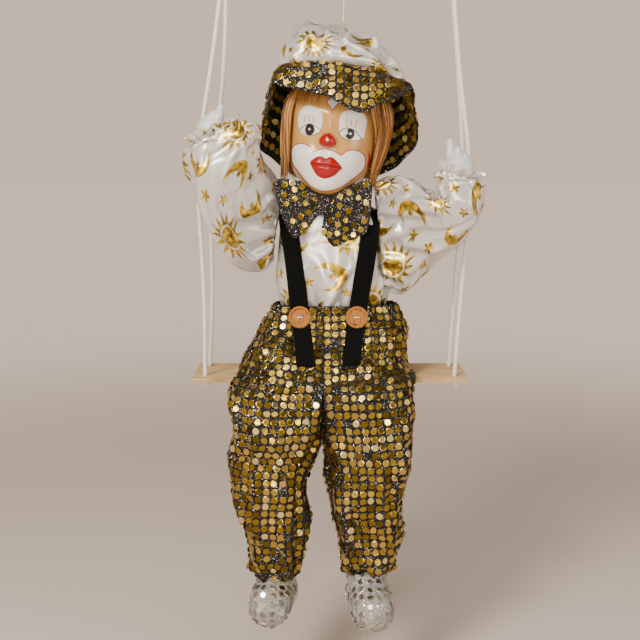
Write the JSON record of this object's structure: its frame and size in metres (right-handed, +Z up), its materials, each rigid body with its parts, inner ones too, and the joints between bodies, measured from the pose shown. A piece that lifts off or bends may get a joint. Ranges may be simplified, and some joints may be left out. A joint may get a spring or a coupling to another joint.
{
  "type": "marionette puppet",
  "caption": "Clown puppet in satin and sequins on a rope swing under a wooden rod, with a nodding and turning head, swinging arms, hanging legs and hinged feet.",
  "frame": {"origin": "centre of the hanging eye's bore, above the middle of the hanger rod", "axes": "+Z up along the object's height, the puppet faces -Y, its own left is +X"},
  "size_m": [0.2014, 0.1256, 0.4674],
  "materials": {
    "hanger_wood": "sanded, clear satin varnish",
    "eye_brass": "polished wire",
    "seat_plywood": "bare plywood, sanded",
    "swing_rope": "braided cotton cord",
    "string_white": "spun thread",
    "stuffed_cloth": "stuffed calico",
    "satin_print": "white satin with gold foil print",
    "sequin_cloth": "black glitter cloth with gold sequins",
    "collar_elastic": "black elastic",
    "brace_felt": "black felt",
    "button_wood": "turned, waxed",
    "hand_porcelain": "greyish white bisque under a thin glaze",
    "neck_wood": "bare dowel",
    "face_paint": "painted skin colour under a gloss glaze",
    "wig_hair": "straight auburn fibre",
    "shoe_sequins": "silver cloth with silver sequins"
  },
  "bodies": {
    "hanger": {"hanger_rod": "hanger_wood", "hanging_eye": "eye_brass"},
    "swing": {"seat_board": "seat_plywood", "rope_left": "swing_rope", "rope_right": "swing_rope", "rope_knots_left": "swing_rope", "rope_knots_right": "swing_rope", "head_string": "string_white", "torso_stuffing": "stuffed_cloth", "shirt_body": "satin_print", "trouser_seat": "sequin_cloth", "collar_band": "collar_elastic", "bow_wing_left": "sequin_cloth", "bow_wing_right": "sequin_cloth", "bow_knot": "sequin_cloth", "brace_left": "brace_felt", "brace_right": "brace_felt", "button_left": "button_wood", "button_right": "button_wood", "button_thread_left": "string_white", "button_thread_right": "string_white", "hand_left": "hand_porcelain", "hand_right": "hand_porcelain"},
    "neck": {"neck_post": "neck_wood"},
    "head": {"head_shell": "face_paint", "wig": "wig_hair", "hat_crown": "satin_print", "hat_brim": "sequin_cloth", "string_eyelet": "eye_brass"},
    "arm_left": {"sleeve_left": "satin_print", "arm_stuffing_left": "stuffed_cloth"},
    "arm_right": {"sleeve_right": "satin_print", "arm_stuffing_right": "stuffed_cloth"},
    "leg_left": {"trouser_leg_left": "sequin_cloth", "leg_stuffing_left": "stuffed_cloth"},
    "leg_right": {"trouser_leg_right": "sequin_cloth", "leg_stuffing_right": "stuffed_cloth"},
    "foot_left": {"shoe_left": "shoe_sequins"},
    "foot_right": {"shoe_right": "shoe_sequins"}
  },
  "joints": [
    {"name": "swing_sway", "type": "hinge", "parent": "hanger", "child": "swing", "pos_m": [0, 0, -0.014], "axis": [1, 0, 0], "range_deg": [-20, 20]},
    {"name": "head_nod", "type": "hinge", "parent": "swing", "child": "neck", "pos_m": [-0.003, 0.019, -0.176], "axis": [1, 0, 0], "range_deg": [-8, 5]},
    {"name": "head_turn", "type": "hinge", "parent": "neck", "child": "head", "pos_m": [-0.003, 0.019, -0.176], "axis": [0.1045, 0, 0.9945], "range_deg": [-40, 40]},
    {"name": "elbow_swing_left", "type": "hinge", "parent": "swing", "child": "arm_left", "pos_m": [0.046, 0.015, -0.177], "axis": [0.7328, -0.5496, 0.4013], "range_deg": [-8, 2]},
    {"name": "elbow_swing_right", "type": "hinge", "parent": "swing", "child": "arm_right", "pos_m": [-0.044, 0.015, -0.177], "axis": [-0.4806, -0.4661, 0.7428], "range_deg": [-2, 8]},
    {"name": "knee_left", "type": "hinge", "parent": "swing", "child": "leg_left", "pos_m": [0.028, -0.0265, -0.302], "axis": [1, 0, 0], "range_deg": [-60, 8]},
    {"name": "knee_right", "type": "hinge", "parent": "swing", "child": "leg_right", "pos_m": [-0.037, -0.0265, -0.302], "axis": [1, 0, 0], "range_deg": [-60, 8]},
    {"name": "ankle_left", "type": "hinge", "parent": "leg_left", "child": "foot_left", "pos_m": [0.028, -0.0265, -0.422], "axis": [1, 0, 0], "range_deg": [-8, 18]},
    {"name": "ankle_right", "type": "hinge", "parent": "leg_right", "child": "foot_right", "pos_m": [-0.037, -0.0265, -0.422], "axis": [1, 0, 0], "range_deg": [-8, 18]}
  ]
}
